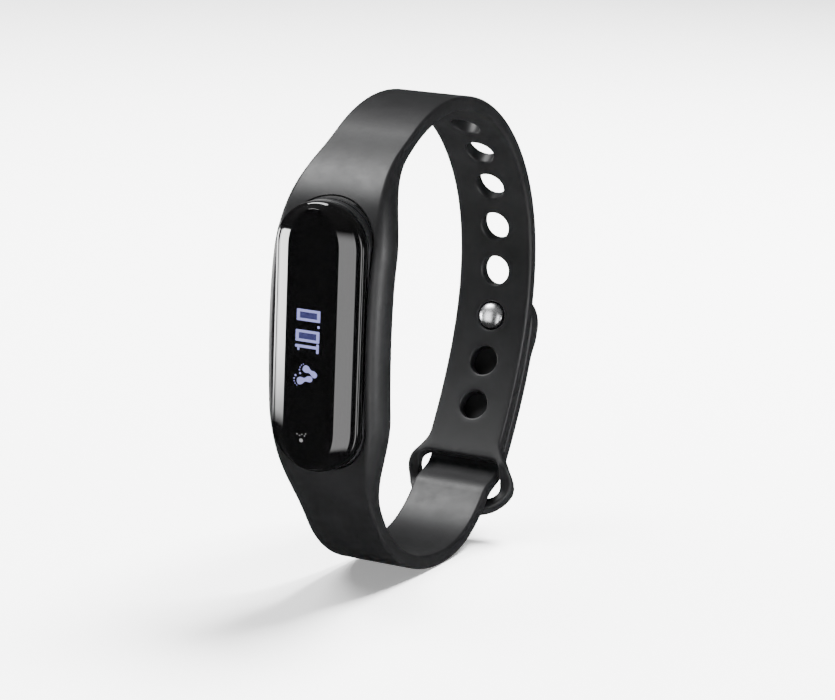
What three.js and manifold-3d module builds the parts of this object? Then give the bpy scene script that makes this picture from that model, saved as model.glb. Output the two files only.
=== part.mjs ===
// A fitness tracker band: a slim glossy tracker held in a one-piece soft silicone wristband.
// Millimetres, +Z up, the tracker's face towards -Y, X across the band.
// The closed band stands on its lower bend, as it does on a table.
//
// The band is drawn along one closed curve, the surface that lies on the wrist:
//   s  is the distance along it from the middle of the tracker, up over the top and round the back,
//   n  is the distance out from it,
//   x  is the distance across it.
// The tracker is drawn flat, with q the distance from the wrist side towards its face.

import * as THREE from 'three';
import { mergeVertices } from 'three/addons/utils/BufferGeometryUtils.js';
import Module from 'manifold-3d';

const wasm = await Module();
wasm.setup();

// ---- Driving sizes -------------------------------------------------------------------------

// The wrist opening and the strap
const wristDepth = 57.4;         // front to back, inside the closed band
const wristHeight = 72.1;        // bottom to top, inside the closed band
const strapWidth = 13.4;
const strapThickness = 2.3;
const strapGap = 0.3;            // between two straps that lie on each other
const flexGap = 0.3;             // where the silicone moulding is parted at a bending line
const edgeRadius = 0.5;

// The pod that holds the tracker
const podWidth = 20.3;
const podThickness = 4.7;
const podFlexAt = 27;            // bending line of each strap, from the middle of the tracker
const podLedge = 1.3;            // silicone behind the tracker's rim
const ledgeWidth = 1.6;
const pocketGap = 0.15;

// The tracker
const trackerLength = 42;
const trackerWidth = 15.4;
const trackerRise = 2.8;         // face in front of the silicone beside it
const trackerEndAxis = 7;        // length of the rounded ends
const faceWidth = 8.6;
const faceEndAxis = 6;
const faceInset = 0.9;           // face outline inside the tracker's end
const bevelDepth = 1.6;
const bevelFoot = 1.2;           // where the bevel starts, inside the tracker's side
const sideTurn = [0.3, 0.35];    // the side leans in by the first before the bevel, over the second's height
const sideLean = 1;              // height below the bevel where the side starts to lean
const lensWall = 0.9;
const rearPlate = 0.8;
const fit = 0.15;                // clearance between pieces inside the tracker

// Adjusting holes, stud and keeper
const holeCount = 8;
const holePitch = 7.78;
const holeDiameter = 4.9;
const firstHoleAt = 37.4;        // from the upper bending line to the first hole
const studInHole = 6;
const studHead = 4.5;
const studNeck = 3;
const studShank = 2.4;
const studRise = 0.9;            // dome above the strap's wrist side
const slotAfterHole = 9;         // last hole to the slot's upper edge
const slotLength = 5.6;
const slotCorner = 2;
const keeperCorner = 6;
const slotClearance = 0.95;      // each side of the lower strap
const keeperArm = 2.3;
const keeperFlare = 3.4;         // the strap starts to widen this far before the slot
const keeperLift = 0.5;          // how much further out than the tail the keeper's bar lies
const barRise = [0.6, 1.2];      // the loop rises between these distances inside the slot's two edges
const strapDrop = [0.5, 0.4];    // the strap drops from inside the slot's upper edge to past its lower one
const tailPastStud = 3.9;
const tailExtra = 1;             // how much thicker the tail's end is
const tailFlexAt = 7.2;          // first bending line of the tail, past the last hole
const tipFlexFromStud = 10.4;    // second bending line, from the stud

// ---- Solids: joining and cutting -----------------------------------------------------------

function solidOf(geometry) {
  const bare = geometry.clone();
  bare.deleteAttribute('normal');
  bare.deleteAttribute('uv');
  const welded = mergeVertices(bare, 1e-4);
  return new wasm.Manifold(new wasm.Mesh({
    numProp: 3,
    vertProperties: new Float32Array(welded.attributes.position.array),
    triVerts: new Uint32Array(welded.index.array),
  }));
}

function geometryOf(solid) {
  const mesh = solid.getMesh();
  const geometry = new THREE.BufferGeometry();
  geometry.setAttribute('position', new THREE.BufferAttribute(mesh.vertProperties, 3));
  geometry.setIndex(new THREE.BufferAttribute(mesh.triVerts, 1));
  return geometry;
}

function cut(geometry, ...cutters) {
  return geometryOf(cutters.reduce((solid, cutter) => solid.subtract(solidOf(cutter)), solidOf(geometry)));
}

function join(geometry, ...others) {
  return geometryOf(others.reduce((solid, other) => solid.add(solidOf(other)), solidOf(geometry)));
}

// A closed skin over a row of rings that all have the same number of points
function skin(rings) {
  const count = rings[0].length;
  const points = rings.flat();
  const index = [];
  for (let k = 0; k < rings.length - 1; k += 1) {
    for (let j = 0; j < count; j += 1) {
      const a = k * count + j;
      const b = k * count + (j + 1) % count;
      index.push(a, b, b + count, a, b + count, a + count);
    }
  }
  const first = points.length;
  const middle = ring => ring.reduce((sum, p) => sum.add(p), new THREE.Vector3()).divideScalar(count);
  points.push(middle(rings[0]), middle(rings.at(-1)));
  const last = (rings.length - 1) * count;
  for (let j = 0; j < count; j += 1) {
    index.push(first, (j + 1) % count, j);
    index.push(first + 1, last + j, last + (j + 1) % count);
  }
  const geometry = new THREE.BufferGeometry().setFromPoints(points);
  geometry.setIndex(index);
  return geometry;
}

// The same for rings that follow the band, where each ring turns the other way
function bandSkin(rings) {
  return skin(rings.toReversed());
}

// ---- The wrist curve -----------------------------------------------------------------------

// Guide points as shares of the opening's depth (towards +Y) and height (towards +Z)
const guide = [
  [-0.360, 0.010], [-0.332, 0.302], [-0.007, 0.470], [0.362, 0.433], [0.632, 0.212],
  [0.660, -0.080], [0.493, -0.370], [0.283, -0.591], [-0.162, -0.537], [-0.329, -0.313],
];

// A closed cubic B-spline, so the bend changes evenly all the way round
class WristCurve extends THREE.Curve {
  getPoint(share, target = new THREE.Vector3()) {
    const t = (share - Math.floor(share)) * guide.length;
    const i = Math.floor(t);
    const u = t - i;
    const weights = [
      (1 - u) ** 3,
      3 * u ** 3 - 6 * u ** 2 + 4,
      -3 * u ** 3 + 3 * u ** 2 + 3 * u + 1,
      u ** 3,
    ];
    target.set(0, 0, 0);
    weights.forEach((weight, k) => {
      const [depth, height] = guide[(i + k + guide.length - 1) % guide.length];
      target.y += weight * depth * wristDepth / 6;
      target.z += weight * height * wristHeight / 6;
    });
    return target;
  }
}

const wrist = new WristCurve();
wrist.arcLengthDivisions = 2000;
const around = wrist.getLength();

function frameAt(s) {
  const share = ((s / around) % 1 + 1) % 1;
  const along = wrist.getTangentAt(share);
  return { point: wrist.getPointAt(share), along, out: new THREE.Vector3(0, -along.z, along.y) };
}

function onBand(s, x, n) {
  const { point, out } = frameAt(s);
  return point.addScaledVector(out, n).add(new THREE.Vector3(x, 0, 0));
}

// Turns a solid drawn about +Z so that its axis points out of the band at s
function standOnBand(geometry, s) {
  const { point, along, out } = frameAt(s);
  const basis = new THREE.Matrix4().makeBasis(along, new THREE.Vector3().crossVectors(out, along), out);
  return geometry.applyMatrix4(basis.setPosition(point));
}

function smooth(from, to, value) {
  return THREE.MathUtils.smoothstep(value, from, to);
}

// ---- Places along the band -----------------------------------------------------------------

const upperRoot = podFlexAt;
const lowerRoot = around - podFlexAt;
const holeAt = number => upperRoot + firstHoleAt + (number - 1) * holePitch;
const lastHole = holeAt(holeCount);
const studAt = holeAt(studInHole);
const slotTop = lastHole + slotAfterHole;
const slotBottom = slotTop + slotLength;
const keeperEnd = slotBottom + keeperArm;
const tailRoot = lastHole + tailFlexAt;
const tipRoot = studAt + tipFlexFromStud;
const tailEnd = studAt - tailPastStud;

const strapHalf = strapWidth / 2;
const podHalf = podWidth / 2;
const slotHalf = strapHalf + slotClearance;
const keeperHalf = slotHalf + keeperArm;
const tailBase = strapThickness + strapGap;

// ---- Silicone sections ---------------------------------------------------------------------

const podTaper = [12, 29];       // where the pod narrows to the strap, from the tracker's middle
const crownTaper = [18, 32];     // where it thins to the strap

function fromMiddle(s) {
  return Math.abs(s > around / 2 ? s - around : s);
}

function bandHalf(s) {
  return THREE.MathUtils.lerp(podHalf, strapHalf, smooth(...podTaper, fromMiddle(s)));
}

function bandCrown(s) {
  return THREE.MathUtils.lerp(podThickness, strapThickness, smooth(...crownTaper, fromMiddle(s)));
}

// One section: flat on the wrist side, its outer edges rounded, and sloping to the sides on the pod
function bandSection(s, half = bandHalf(s), base = 0, crown = bandCrown(s)) {
  const isPod = base === 0 && crown > strapThickness;
  const spare = Math.max(0, half - strapHalf);
  const shoulder = edgeRadius + (isPod ? spare * 0.5 : 0);
  const drop = Math.min(edgeRadius + (isPod ? spare : 0), crown - edgeRadius - 0.2);
  const steps = 3;
  const right = [[half - edgeRadius, 0], [half, edgeRadius]];
  for (let k = 0; k <= steps; k += 1) {
    const angle = k / steps * Math.PI / 2;
    const x = half - shoulder * (1 - Math.cos(angle));
    right.push([x, crown - drop * (1 - Math.sin(angle))]);
  }
  const left = right.map(([x, n]) => [-x, n]).reverse();
  return [...right, ...left].map(([x, n]) => onBand(s, x, base + n));
}

function stepsBetween(from, to, pitch) {
  const count = Math.max(1, Math.ceil(Math.abs(to - from) / pitch));
  return Array.from({ length: count + 1 }, (unused, k) => from + (to - from) * k / count);
}

const stationPitch = 2.6;

// ---- Outlines of the tracker ---------------------------------------------------------------

// A long outline with rounded ends, drawn in X and Z about the tracker's middle
function pebbleOutline(half, halfLength, endAxis, depth, steps = 9) {
  const ring = [];
  for (const end of [1, -1]) {
    for (let k = 0; k <= steps; k += 1) {
      const angle = k / steps * Math.PI;
      const x = end * half * Math.cos(angle);
      const z = end * (halfLength - endAxis + endAxis * Math.sin(angle));
      ring.push(new THREE.Vector3(x, podFace - depth, z + podMiddle));
    }
  }
  return ring;
}

// Like the outer outline, moved in by a distance
function insetOutline(inset, depth) {
  return pebbleOutline(trackerHalf - inset, trackerLength / 2 - inset, trackerEndAxis - inset * 0.9, depth);
}

function pebbleBlock(inset, from, to) {
  return skin([insetOutline(inset, from), insetOutline(inset, to)]);
}

const trackerHalf = trackerWidth / 2;
const podMiddle = frameAt(0).point.z;
const podFace = frameAt(0).point.y;        // wrist side of the pod, where q is 0
const faceAt = podThickness + trackerRise;
const rearAt = podLedge + 0.1;
const rearPadAt = 0.15;

// Places a solid drawn about the origin, +Z towards the face, at (x, z) and depth q in the tracker
function inTracker(geometry, x, z, q) {
  geometry.rotateX(Math.PI / 2);
  return geometry.translate(x, podFace - q, podMiddle + z);
}

function block(width, length, height, x, z, q) {
  return inTracker(new THREE.BoxGeometry(width, length, height).translate(0, 0, height / 2), x, z, q);
}

// ---- The silicone wristband ----------------------------------------------------------------

function podFrame() {
  const stations = stepsBetween(-podFlexAt + flexGap / 2, podFlexAt - flexGap / 2, stationPitch);
  const body = bandSkin(stations.map(s => bandSection(s)));
  const pocket = pebbleBlock(-pocketGap, podLedge, faceAt + podThickness);
  const window = pebbleBlock(ledgeWidth, -podThickness * 2, faceAt);
  return cut(body, pocket, window);
}

// Rounds the end of a flat strap: the half width at a distance from the end
function roundedHalf(half, radius, fromEnd) {
  const left = Math.max(0, 1 - fromEnd / radius);
  return half - radius * (1 - Math.sqrt(1 - left ** 2));
}

function strapHole(number) {
  const hole = new THREE.CylinderGeometry(holeDiameter / 2, holeDiameter / 2, strapThickness * 3, 20);
  return standOnBand(hole.rotateX(Math.PI / 2), holeAt(number));
}

// The keeper starts in the strap's own plane and ends outside the lower strap that passes it
function keeperBase(s) {
  return (tailBase + keeperLift) * smooth(slotTop + barRise[0], slotBottom - barRise[1], s);
}

function keeperLoop() {
  const start = slotTop - keeperFlare;
  const half = s => {
    const flared = THREE.MathUtils.lerp(strapHalf, keeperHalf, smooth(start, slotTop + keeperFlare, s));
    return Math.min(flared, roundedHalf(keeperHalf, keeperCorner, keeperEnd - s + 0.2));
  };
  const outer = bandSkin(stepsBetween(start, keeperEnd, 0.9).map(s => (
    bandSection(s, half(s), keeperBase(s), strapThickness))));
  const slot = bandSkin(stepsBetween(slotTop, slotBottom, 0.8).map(s => {
    const near = Math.min(s - slotTop, slotBottom - s);
    const slotSide = roundedHalf(slotHalf, slotCorner, near + 0.1);
    const low = -strapThickness * 2;
    const high = strapThickness * 4;
    const ring = [[slotSide, low], [slotSide, high], [-slotSide, high], [-slotSide, low]];
    return ring.map(([x, n]) => onBand(s, x, n));
  }));
  return { outer, slot };
}

function upperStrap() {
  const keeper = keeperLoop();
  const stations = stepsBetween(upperRoot + flexGap / 2, slotTop - keeperFlare + 0.6, stationPitch);
  const strap = join(bandSkin(stations.map(s => bandSection(s))), keeper.outer);
  const holes = Array.from({ length: holeCount }, (unused, k) => strapHole(k + 1));
  return cut(strap, keeper.slot, ...holes);
}

// The lower strap lies on the wrist curve and passes out through the keeper's slot
function lowerBase(s) {
  return tailBase * (1 - smooth(slotTop + strapDrop[0], slotBottom + strapDrop[1], s));
}

function lowerStrap() {
  const passed = slotBottom + 5;
  const stations = stepsBetween(tailRoot + flexGap / 2, passed, 1)
    .concat(stepsBetween(passed, lowerRoot - flexGap / 2, stationPitch).slice(1));
  return bandSkin(stations.map(s => bandSection(s, bandHalf(s), lowerBase(s))));
}

function strapTail() {
  const stations = stepsBetween(tipRoot + flexGap / 2, tailRoot - flexGap / 2, stationPitch);
  return bandSkin(stations.map(s => bandSection(s, strapHalf, tailBase)));
}

const tipThickness = strapThickness + tailExtra;
const rivetDepth = 0.8;
const rivetRadius = 3;

function tipCrown(s) {
  return strapThickness + tailExtra * (1 - smooth(studAt + 2.5, studAt + 6, s));
}

function tailTip() {
  const stations = stepsBetween(tailEnd, tipRoot - flexGap / 2, 1.1);
  const half = s => roundedHalf(strapHalf, tailPastStud + 1, s - tailEnd + 0.15);
  const tab = bandSkin(stations.map(s => bandSection(s, half(s), tailBase, tipCrown(s))));
  const bore = new THREE.CylinderGeometry(studShank / 2 + fit, studShank / 2 + fit, tipThickness * 4, 16);
  const seat = new THREE.CylinderGeometry(rivetRadius + fit, rivetRadius + fit, tipThickness, 24);
  const seatAt = tailBase + tipThickness - rivetDepth - fit + tipThickness / 2;
  return cut(
    tab,
    standOnBand(bore.rotateX(Math.PI / 2), studAt),
    standOnBand(seat.rotateX(Math.PI / 2).translate(0, 0, seatAt), studAt),
  );
}

// ---- The stud ------------------------------------------------------------------------------

function lathe(profile, segments = 20) {
  const points = profile.map(([radius, height]) => new THREE.Vector2(radius, height));
  return new THREE.LatheGeometry(points, segments).rotateX(Math.PI / 2);
}

const studFlange = 0.2;          // gap that the neck's shoulder keeps to the tab
const shankEnd = tailBase + tipThickness - 0.35;

function studPin() {
  const dome = [[0, -studRise]];
  for (let k = 1; k <= 5; k += 1) {
    const angle = k / 5 * Math.PI / 2;
    dome.push([studHead / 2 * Math.sin(angle), -studRise + 1.1 * (1 - Math.cos(angle))]);
  }
  const neck = [[studHead / 2, 0.9], [studNeck / 2, 1.3], [studNeck / 2, tailBase - studFlange]];
  const shank = [[studShank / 2, tailBase - studFlange], [studShank / 2, shankEnd], [0, shankEnd]];
  return standOnBand(lathe([...dome, ...neck, ...shank]), studAt);
}

function studCap() {
  const low = tailBase + tipThickness - rivetDepth;
  const high = low + rivetDepth;
  const bore = studShank / 2 + fit;
  const recess = shankEnd + fit;
  const profile = [
    [0, recess], [bore, recess], [bore, low], [rivetRadius, low],
    [rivetRadius, high - 0.25], [rivetRadius - 0.3, high], [0, high],
  ];
  return standOnBand(lathe(profile, 24), studAt);
}

// ---- The tracker's case --------------------------------------------------------------------

const shellSplit = podThickness - 0.4;     // where lens and frame meet, just inside the pod
const lensInner = faceAt - lensWall;

function lensSkin(shrink, from) {
  const face = faceAt - shrink;
  const halfLength = trackerLength / 2 - shrink;
  const rim = trackerHalf - shrink;
  return skin([
    pebbleOutline(rim, halfLength, trackerEndAxis, from),
    pebbleOutline(rim, halfLength, trackerEndAxis, face - bevelDepth - sideLean),
    pebbleOutline(rim - sideTurn[0], halfLength - 0.1, trackerEndAxis, face - bevelDepth - sideTurn[1]),
    pebbleOutline(rim - bevelFoot, halfLength - 0.4, trackerEndAxis - 0.2, face - bevelDepth),
    pebbleOutline(faceWidth / 2 - shrink / 2, halfLength - faceInset, faceEndAxis, face),
  ]);
}

// Half the width inside the lens at a depth on its bevel
function insideHalf(depth) {
  const foot = trackerHalf - lensWall - bevelFoot;
  const top = faceWidth / 2 - lensWall / 2;
  return THREE.MathUtils.mapLinear(depth, lensInner - bevelDepth, lensInner, foot, top);
}

function frontLens() {
  return cut(lensSkin(0, shellSplit), lensSkin(lensWall, shellSplit - 2));
}

function lensGasket() {
  const ring = pebbleBlock(0.1, shellSplit - 0.35, shellSplit - 0.1);
  return cut(ring, pebbleBlock(lensWall, shellSplit - 2, shellSplit + 2));
}

const frameTop = shellSplit - 0.45;
const frameFoot = rearAt + rearPlate + 0.4;

function midFrame() {
  const wall = pebbleBlock(0, frameFoot, frameTop);
  return cut(wall, pebbleBlock(lensWall + 0.1, frameFoot - 2, frameTop + 2));
}

function caseSeal() {
  const ring = pebbleBlock(0.15, rearAt + rearPlate + 0.1, frameFoot - 0.1);
  return cut(ring, pebbleBlock(lensWall, rearAt, frameFoot + 2));
}

const contactRadius = 1;
const contactSpacing = 5;
const contactZ = -15.6;
const coverWall = ledgeWidth + 1.1;        // the rear cover's hollow, inside the tracker's side

function rearCover() {
  const plate = pebbleBlock(0, rearAt, rearAt + rearPlate);
  const pad = pebbleBlock(ledgeWidth + 0.2, rearPadAt, rearAt + rearPlate / 2);
  const bores = [-1, 1].map(side => inTracker(
    new THREE.CylinderGeometry(contactRadius + fit, contactRadius + fit, 8, 16).rotateX(Math.PI / 2),
    side * contactSpacing / 2, contactZ, 0,
  ));
  const hollow = pebbleBlock(coverWall, rearPadAt + rearPlate, rearAt + 2);
  return cut(join(plate, pad), hollow, ...bores);
}

// ---- Inside the tracker --------------------------------------------------------------------

const batteryAt = rearPadAt + rearPlate + 0.4;
const batteryHeight = 1.9;
const batteryLength = 21.5;
const batteryWidth = 2 * (trackerHalf - coverWall - 0.2);
const batteryZ = -1;
const boardAt = batteryAt + batteryHeight + 0.35;
const boardThickness = 0.5;
const displayHeight = 1;
const displayLength = 14.5;
const displayDrop = 0.4;         // under the lens
const displayAt = lensInner - displayHeight - displayDrop;
const displaySide = 0.09;        // clearance to the bevel's inner side
const displayWidth = 2 * (insideHalf(lensInner - displayDrop) - displaySide);
const displayZ = 0;
const motorZ = 15.2;
const motorRadius = 4;
const motorHeight = 2.3;
const boardTop = boardAt + boardThickness + 0.06;

function roundedPlate(width, length, height, radius, x, z, q) {
  const shape = new THREE.Shape();
  const w = width / 2 - radius;
  const l = length / 2 - radius;
  shape.absarc(w, l, radius, 0, Math.PI / 2);
  shape.absarc(-w, l, radius, Math.PI / 2, Math.PI);
  shape.absarc(-w, -l, radius, Math.PI, Math.PI * 1.5);
  shape.absarc(w, -l, radius, Math.PI * 1.5, Math.PI * 2);
  const plate = new THREE.ExtrudeGeometry(shape, { depth: height, bevelEnabled: false, curveSegments: 4 });
  return inTracker(plate, x, z, q);
}

// The flat ribbon folds back from the display's lower end to the board
function ribbon() {
  const width = 6;
  const thick = 0.12;
  const top = displayAt + 0.1;
  const near = displayZ - displayLength / 2 - fit;
  const far = near - 1.5;
  const middle = (top + boardTop) / 2;
  const bend = (top - boardTop) / 2;
  const shape = new THREE.Shape();
  shape.moveTo(near, top);
  shape.lineTo(far, top);
  shape.absarc(far, middle, bend, Math.PI / 2, Math.PI * 1.5, false);
  shape.lineTo(near, boardTop);
  shape.lineTo(near, boardTop + thick);
  shape.lineTo(far, boardTop + thick);
  shape.absarc(far, middle, bend - thick, Math.PI * 1.5, Math.PI / 2, true);
  shape.lineTo(near, top - thick);
  const strip = new THREE.ExtrudeGeometry(shape, { depth: width, bevelEnabled: false, curveSegments: 5 });
  strip.translate(0, 0, -width / 2);
  const toTracker = new THREE.Matrix4().makeBasis(
    new THREE.Vector3(0, 0, 1), new THREE.Vector3(0, -1, 0), new THREE.Vector3(1, 0, 0));
  return strip.applyMatrix4(toTracker.setPosition(0, podFace, podMiddle));
}

function board() {
  const outline = pebbleBlock(lensWall + 0.4, boardAt, boardAt + boardThickness);
  return cut(outline, block(trackerWidth, 12, 4, 0, motorZ, boardAt - 2));
}

const chipHeight = 0.6;
const antennaWidth = 2 * (trackerHalf - 5.1);

function chip(width, length, x, z, height = chipHeight) {
  return roundedPlate(width, length, height, 0.15, x, z, boardTop);
}

function motorPieces() {
  const wall = 0.25;
  const radius = motorRadius;
  const low = rearAt + rearPlate + 0.2;
  const high = low + motorHeight;
  const place = geometry => inTracker(geometry, 0, motorZ, 0);
  const rotorLow = low + 0.75;
  const rotorHigh = high - wall - 0.12;
  const can = place(lathe([
    [0, high - wall], [radius - wall, high - wall], [radius - wall, low + 0.35],
    [radius, low + 0.35], [radius, high], [0, high],
  ], 28));
  const base = place(lathe([[0, low], [radius, low], [radius, low + 0.25], [0, low + 0.25]], 28));
  const coil = place(lathe([
    [1.1, low + 0.3], [2.4, low + 0.3], [2.4, low + 0.62], [1.1, low + 0.62], [1.1, low + 0.3],
  ], 20));
  const shaftTop = rotorHigh + 0.06;
  const shaft = place(lathe([[0, low + 0.3], [0.4, low + 0.3], [0.4, shaftTop], [0, shaftTop]], 12));
  const weight = new THREE.Shape();
  weight.absarc(0, 0, radius - wall - 0.25, -0.15, Math.PI + 0.15);
  weight.absarc(0, 0, 1.2, Math.PI + 0.15, Math.PI * 2 - 0.15);
  const eye = new THREE.Path();
  eye.absarc(0, 0, 0.52, 0, Math.PI * 2, true);
  weight.holes.push(eye);
  const rotor = place(new THREE.ExtrudeGeometry(
    weight, { depth: rotorHigh - rotorLow, bevelEnabled: false, curveSegments: 12 },
  ).translate(0, 0, rotorLow));
  return { can, base, coil, shaft, rotor };
}

function batteryLead(side) {
  const x = side * 1.6;
  const rise = boardAt - fit - batteryAt - batteryHeight / 2;
  const path = new THREE.CatmullRomCurve3([
    new THREE.Vector3(x, 0, 0),
    new THREE.Vector3(x, -0.7, 0.02),
    new THREE.Vector3(x, -1.2, rise * 0.45),
    new THREE.Vector3(x, -1.25, rise),
  ]);
  const section = new THREE.Shape().absarc(0, 0, 0.3, 0, Math.PI * 2);
  const wire = new THREE.ExtrudeGeometry(section, { extrudePath: path, steps: 8, curveSegments: 4 });
  return inTracker(wire, 0, batteryZ - batteryLength / 2 - 0.1, batteryAt + batteryHeight / 2);
}

// The helical spring that carries the touch from the electrode to the board
function touchSpring(z, electrodeAt) {
  const turns = 3;
  const radius = 1.5;
  const wire = 0.16;
  const low = boardTop + wire;
  const high = electrodeAt - wire - 0.04;
  const points = [];
  for (let k = 0; k <= turns * 8; k += 1) {
    const angle = k / 8 * Math.PI * 2;
    const height = low + (high - low) * k / (turns * 8);
    points.push(new THREE.Vector3(radius * Math.cos(angle), radius * Math.sin(angle), height));
  }
  const path = new THREE.CatmullRomCurve3(points);
  const section = new THREE.Shape().absarc(0, 0, wire, 0, Math.PI * 2);
  const coil = new THREE.ExtrudeGeometry(section, { extrudePath: path, steps: turns * 14, curveSegments: 3 });
  return inTracker(coil, 0, z, 0);
}

// ---- Materials -----------------------------------------------------------------------------

function finish(color, roughness, metalness = 0) {
  return () => new THREE.MeshStandardMaterial({ color, roughness, metalness });
}

const silicone = finish(0x17181a, 0.55);
const glossBlack = finish(0x060607, 0.08);
const blackPlastic = finish(0x101113, 0.4);
const steel = finish(0xc6c8c9, 0.18, 1);
const gold = finish(0xd9b36a, 0.25, 1);
const boardGreen = finish(0x123a2a, 0.5);
const chipBlack = finish(0x1b1b1d, 0.45);
const ceramic = finish(0xd8d2c4, 0.5);
const foil = finish(0xb7bbbf, 0.35, 1);
const amber = finish(0xb7761c, 0.4);
const foam = finish(0xe6e4dc, 0.9);
const redWire = finish(0xa32222, 0.45);
const blackWire = finish(0x141414, 0.45);
const copper = finish(0xb46a3c, 0.3, 1);
const tungsten = finish(0x5c5f63, 0.4, 1);
const display = finish(0x0a0b14, 0.2);
const gasketGrey = finish(0x3a3c3f, 0.8);

// ---- The assembly --------------------------------------------------------------------------

const band = new THREE.Group();

function add(name, geometry, material) {
  geometry.computeVertexNormals();
  const mesh = new THREE.Mesh(geometry, material());
  mesh.name = name;
  band.add(mesh);
}

add('pod_frame', podFrame(), silicone);
add('upper_strap', upperStrap(), silicone);
add('lower_strap', lowerStrap(), silicone);
add('strap_tail', strapTail(), silicone);
add('tail_tip', tailTip(), silicone);
add('stud_pin', studPin(), steel);
add('stud_cap', studCap(), steel);

add('front_lens', frontLens(), glossBlack);
add('lens_gasket', lensGasket(), gasketGrey);
add('mid_frame', midFrame(), blackPlastic);
add('case_seal', caseSeal(), gasketGrey);
add('rear_cover', rearCover(), blackPlastic);

const panel = roundedPlate(displayWidth, displayLength, displayHeight, 0.3, 0, displayZ, displayAt);
add('display_panel', panel, display);
add('display_flex', ribbon(), amber);
const touchZ = -15.3;
const electrodeAt = lensInner - 0.35;
add('touch_electrode', roundedPlate(6, 6, 0.2, 2.9, 0, touchZ, electrodeAt), copper);
add('touch_spring', touchSpring(touchZ, electrodeAt), steel);
add('main_board', board(), boardGreen);
add('processor_chip', chip(5, 5, 1.6, 5), chipBlack);
add('motion_sensor', chip(2, 2, -3, 6.2), chipBlack);
add('flash_chip', chip(3, 2.6, -3, 2.8), chipBlack);
add('clock_crystal', chip(1.2, 2.6, -4.2, -1.6), foil);
add('antenna', chip(antennaWidth, 1.4, 0, -18, 0.8), ceramic);
add('battery', roundedPlate(batteryWidth, batteryLength, batteryHeight, 0.8, 0, batteryZ, batteryAt), foil);
const pad = roundedPlate(batteryWidth - 1.6, batteryLength - 5.5, 0.15, 0.5, 0, batteryZ, batteryAt - 0.22);
add('battery_pad', pad, foam);
add('battery_lead_positive', batteryLead(1), redWire);
add('battery_lead_negative', batteryLead(-1), blackWire);

for (const [name, side] of [['charge_contact_left', -1], ['charge_contact_right', 1]]) {
  const pin = lathe([
    [0, rearPadAt], [contactRadius, rearPadAt], [contactRadius, rearPadAt + rearPlate + 0.3],
    [0.4, rearPadAt + rearPlate + 0.3], [0.4, boardAt - 0.1], [0, boardAt - 0.1],
  ], 16);
  add(name, inTracker(pin, side * contactSpacing / 2, contactZ, 0), gold);
}

const motor = motorPieces();
add('motor_can', motor.can, steel);
add('motor_base', motor.base, foil);
add('motor_coil', motor.coil, copper);
add('motor_shaft', motor.shaft, steel);
add('motor_rotor', motor.rotor, tungsten);

// Stand the band on its lower bend, with the origin under the middle of its box
const box = new THREE.Box3().setFromObject(band);
const centre = box.getCenter(new THREE.Vector3());
band.position.set(-centre.x, -centre.y, -box.min.z);

export default band;
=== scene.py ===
import math
import bmesh
import bpy
import numpy as np
from mathutils import Matrix, Vector
from mathutils.geometry import delaunay_2d_cdt


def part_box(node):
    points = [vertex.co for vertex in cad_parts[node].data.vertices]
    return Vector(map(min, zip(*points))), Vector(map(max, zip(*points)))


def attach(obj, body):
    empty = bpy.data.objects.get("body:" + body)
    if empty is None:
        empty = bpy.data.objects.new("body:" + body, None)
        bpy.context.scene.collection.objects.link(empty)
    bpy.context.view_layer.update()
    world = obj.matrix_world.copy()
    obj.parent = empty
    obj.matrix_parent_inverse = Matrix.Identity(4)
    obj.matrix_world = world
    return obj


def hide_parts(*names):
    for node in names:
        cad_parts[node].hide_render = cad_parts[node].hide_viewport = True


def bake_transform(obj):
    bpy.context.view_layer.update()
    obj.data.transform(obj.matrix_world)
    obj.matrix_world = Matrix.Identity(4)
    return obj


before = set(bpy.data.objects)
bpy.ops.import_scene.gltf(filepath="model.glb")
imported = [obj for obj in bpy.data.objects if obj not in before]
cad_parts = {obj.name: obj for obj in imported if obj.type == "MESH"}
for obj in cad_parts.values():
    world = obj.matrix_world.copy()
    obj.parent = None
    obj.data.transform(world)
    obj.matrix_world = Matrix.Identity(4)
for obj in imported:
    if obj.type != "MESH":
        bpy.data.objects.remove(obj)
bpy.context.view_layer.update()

# %% [markdown]
# # A slim fitness tracker in a moulded wristband
# The band is one closed loop of soft silicone. The easiest way to draw such a loop is to unroll it:
# every point gets a distance s along the wrist, a distance x across it and a height n out from it.
# A strap is then a straight bar, its holes are plain drilled holes, and one function bends it all
# round the wrist.

# %% The curve that lies on the wrist
MM = 0.001
WRIST_DEPTH = 57.4
WRIST_HEIGHT = 72.1
GUIDE = np.array([
    (-0.360, 0.010), (-0.332, 0.302), (-0.007, 0.470), (0.362, 0.433), (0.632, 0.212),
    (0.660, -0.080), (0.493, -0.370), (0.283, -0.591), (-0.162, -0.537), (-0.329, -0.313),
]) * (WRIST_DEPTH, WRIST_HEIGHT)


def wrist_curve(steps=6000):
    """Points and unit tangents of the closed spline, and the distance along it to each."""
    t = np.linspace(0, len(GUIDE), steps + 1)
    i = np.minimum(t.astype(int), len(GUIDE) - 1)
    u = (t - i)[:, None]
    weights = [(1 - u) ** 3, 3 * u**3 - 6 * u**2 + 4, -3 * u**3 + 3 * u**2 + 3 * u + 1, u**3]
    slopes = [-3 * (1 - u) ** 2, 9 * u**2 - 12 * u, -9 * u**2 + 6 * u + 3, 3 * u**2]
    picks = [GUIDE[(i + k - 1) % len(GUIDE)] for k in range(4)]
    point = sum(w * p for w, p in zip(weights, picks)) / 6
    slope = sum(w * p for w, p in zip(slopes, picks)) / 6
    tangent = slope / np.linalg.norm(slope, axis=1)[:, None]
    length = np.concatenate([[0], np.cumsum(np.linalg.norm(np.diff(point, axis=0), axis=1))])
    return point, tangent, length


CURVE, TANGENT, LENGTH = wrist_curve()
AROUND = LENGTH[-1]
print("once round the wrist:", round(AROUND, 2), "mm")

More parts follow.
